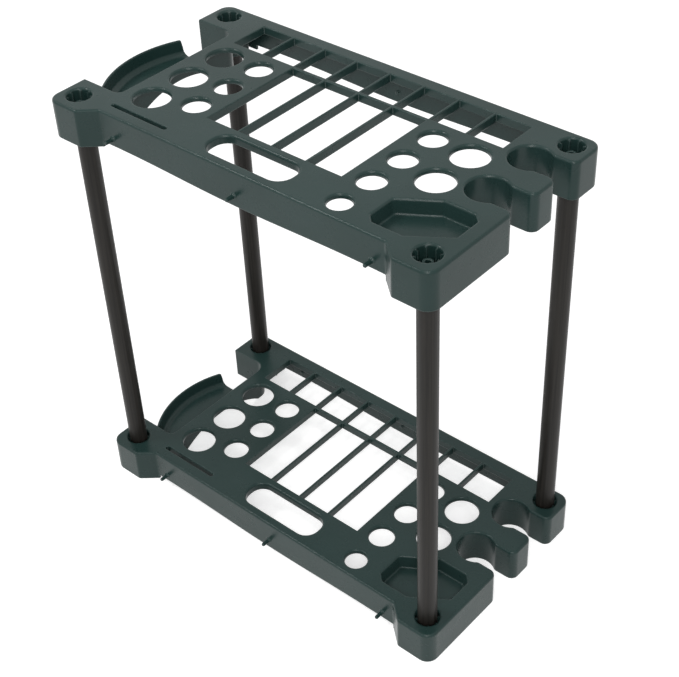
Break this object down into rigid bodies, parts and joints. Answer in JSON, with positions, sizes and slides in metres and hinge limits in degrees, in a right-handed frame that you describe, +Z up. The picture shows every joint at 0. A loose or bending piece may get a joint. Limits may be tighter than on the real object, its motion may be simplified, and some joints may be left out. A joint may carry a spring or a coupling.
{
  "type": "garden tool rack",
  "caption": "Freestanding garden tool rack: pierced plastic shelves joined by corner tubes, with a cell grid, round tool holes, keyhole notches and a tray.",
  "frame": {"origin": "middle of the footprint, on the floor under the lower shelf", "axes": "+X along the length towards the side with the keyhole notches, +Y towards the back with the cell grid, +Z up"},
  "size_m": [0.5842, 0.3174, 0.6096],
  "materials": {
    "shelf_plastic": "moulded dark green-grey, satin",
    "tube_coating": "dark brown-black coating, semi-gloss"
  },
  "bodies": {
    "root": {"lower_shelf": "shelf_plastic", "upper_shelf": "shelf_plastic", "tube_front_left": "tube_coating", "tube_front_right": "tube_coating", "tube_back_left": "tube_coating", "tube_back_right": "tube_coating"}
  },
  "joints": []
}
